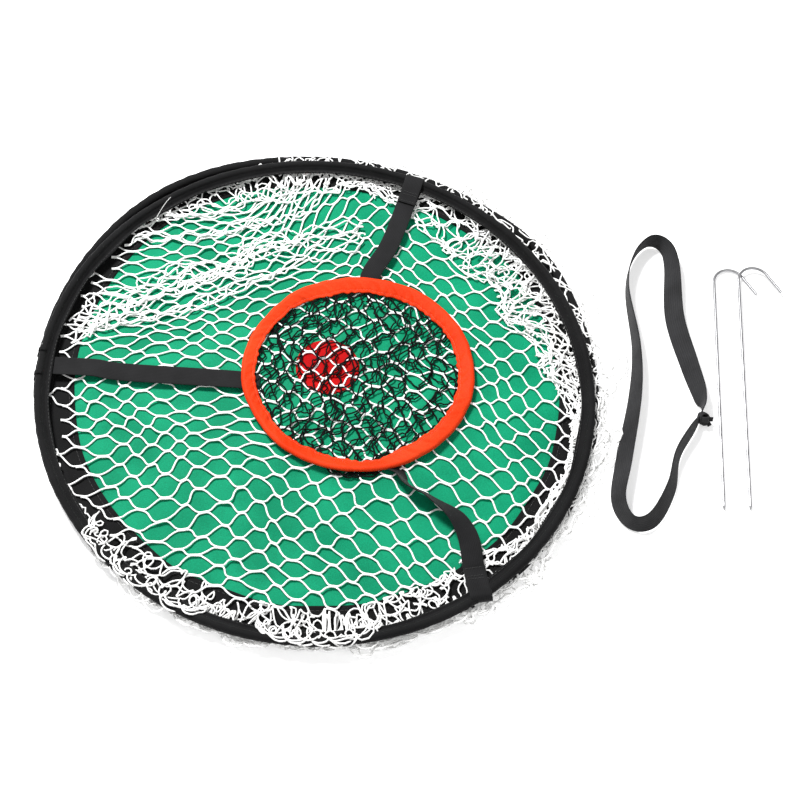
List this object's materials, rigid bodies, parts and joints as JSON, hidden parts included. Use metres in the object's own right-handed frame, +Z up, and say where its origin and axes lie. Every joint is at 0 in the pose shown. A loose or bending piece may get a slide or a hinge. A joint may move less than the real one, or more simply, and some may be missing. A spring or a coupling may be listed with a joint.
{
  "type": "golf chipping net",
  "caption": "Folding practice net: a round cloth backboard and a hinged net hoop holding a strapped target ring, with ground pegs and a storage band.",
  "frame": {"origin": "centre of the base hoop, on the ground", "axes": "+Z up, +X from the hinge towards the side that opens, +Y away from the viewer"},
  "size_m": [0.7627, 0.5994, 0.0212],
  "materials": {
    "spring_steel": "drawn",
    "crimp_sleeve": "satin",
    "black_binding": "matt woven",
    "black_border": "matt woven",
    "green_satin": "satin sheen",
    "red_patch": "satin sheen",
    "black_webbing": "ribbed webbing",
    "white_net": "soft twisted cord",
    "orange_sleeve": "satin sheen",
    "black_net": "twisted cord",
    "peg_steel": "bright",
    "black_elastic": "matt knitted elastic"
  },
  "bodies": {
    "base": {"base_hoop_wire": "spring_steel", "base_wire_ferrule": "crimp_sleeve", "base_hoop_binding": "black_binding", "base_border": "black_border", "green_panel": "green_satin", "target_dot": "red_patch", "hinge_loops": "black_webbing", "catch_net_floor": "white_net"},
    "upper_hoop": {"upper_hoop_wire": "spring_steel", "upper_wire_ferrule": "crimp_sleeve", "upper_hoop_sleeve": "black_binding", "strap_left": "black_webbing", "strap_upper": "black_webbing", "strap_lower": "black_webbing", "catch_net_wall": "white_net"},
    "target_ring": {"ring_wire": "spring_steel", "ring_wire_ferrule": "crimp_sleeve", "ring_sleeve": "orange_sleeve", "pocket_net": "black_net"},
    "peg_1": {"ground_peg_1": "peg_steel"},
    "peg_2": {"ground_peg_2": "peg_steel"},
    "band": {"storage_band": "black_elastic"}
  },
  "joints": [
    {"name": "hoop_fold", "type": "hinge", "parent": "base", "child": "upper_hoop", "pos_m": [-0.27176, 0.00335, 0.015], "axis": [-0.0419, -0.9991, 0], "range_deg": [0, 55]},
    {"name": "ring_float", "type": "slide", "parent": "upper_hoop", "child": "target_ring", "axis": [0, 0, 1], "range_m": [0, 0.06]},
    {"name": "peg_1_lift", "type": "slide", "parent": "base", "child": "peg_1", "axis": [0, 0, 1], "range_m": [0, 0.1]},
    {"name": "peg_2_lift", "type": "slide", "parent": "peg_1", "child": "peg_2", "axis": [0, 0, 1], "range_m": [0, 0.1]},
    {"name": "band_lift", "type": "slide", "parent": "base", "child": "band", "axis": [0, 0, 1], "range_m": [0, 0.1]}
  ]
}
